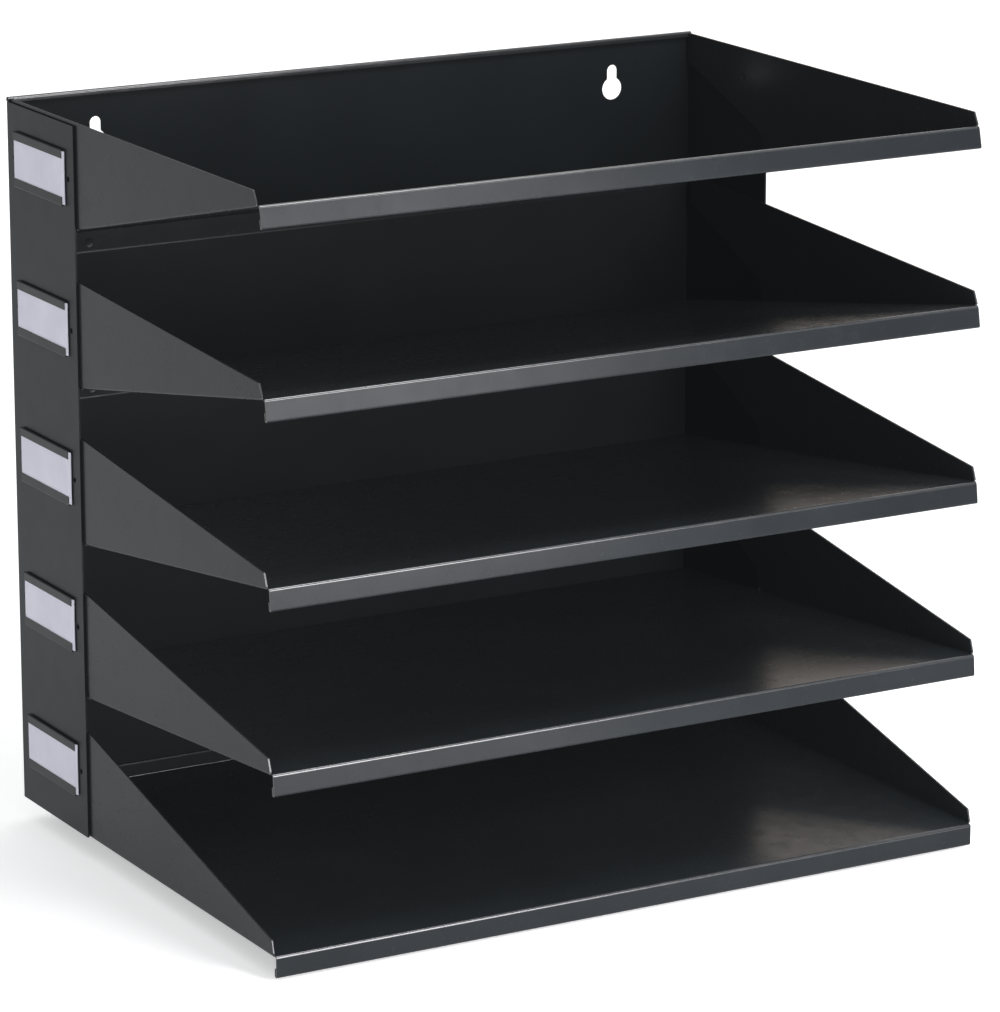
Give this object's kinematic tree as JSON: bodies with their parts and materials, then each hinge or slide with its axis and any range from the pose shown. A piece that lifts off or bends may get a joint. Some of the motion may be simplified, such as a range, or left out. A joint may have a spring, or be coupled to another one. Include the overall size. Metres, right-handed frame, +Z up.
{
  "type": "desktop file sorter",
  "caption": "Fanned steel letter sorter: folded trays with tapered sides and turned-down front lips, welded into a back frame with keyholes, with slide-in label cards on one flange.",
  "frame": {"origin": "on the desk, at the centre of the sorter's footprint, in the plane midway between the side flanges", "axes": "+X to the right as the user faces the open front, +Y to the back panel and the wall, +Z up"},
  "size_m": [0.3565, 0.2506, 0.3353],
  "materials": {
    "frame_paint": "black powder coat, satin, fine orange peel",
    "tray_paint": "black powder coat, satin, fine orange peel",
    "holder_paint": "black paint, satin",
    "card_paper": "uncoated white card",
    "foot_rubber": "matt black moulded rubber"
  },
  "bodies": {
    "frame": {"back_frame": "frame_paint", "tray_1": "tray_paint", "tray_2": "tray_paint", "tray_3": "tray_paint", "tray_4": "tray_paint", "tray_5": "tray_paint", "label_holder_1": "holder_paint", "label_holder_2": "holder_paint", "label_holder_3": "holder_paint", "label_holder_4": "holder_paint", "label_holder_5": "holder_paint", "foot_front_left": "foot_rubber", "foot_front_right": "foot_rubber", "foot_rear_left": "foot_rubber", "foot_rear_right": "foot_rubber"},
    "card_1": {"label_card_1": "card_paper"},
    "card_2": {"label_card_2": "card_paper"},
    "card_3": {"label_card_3": "card_paper"},
    "card_4": {"label_card_4": "card_paper"},
    "card_5": {"label_card_5": "card_paper"}
  },
  "joints": [
    {"name": "card_1_slide", "type": "slide", "parent": "frame", "child": "card_1", "axis": [0, -1, 0], "range_m": [0, 0.045]},
    {"name": "card_2_slide", "type": "slide", "parent": "frame", "child": "card_2", "axis": [0, -1, 0], "range_m": [0, 0.045]},
    {"name": "card_3_slide", "type": "slide", "parent": "frame", "child": "card_3", "axis": [0, -1, 0], "range_m": [0, 0.045]},
    {"name": "card_4_slide", "type": "slide", "parent": "frame", "child": "card_4", "axis": [0, -1, 0], "range_m": [0, 0.045]},
    {"name": "card_5_slide", "type": "slide", "parent": "frame", "child": "card_5", "axis": [0, -1, 0], "range_m": [0, 0.045]}
  ]
}
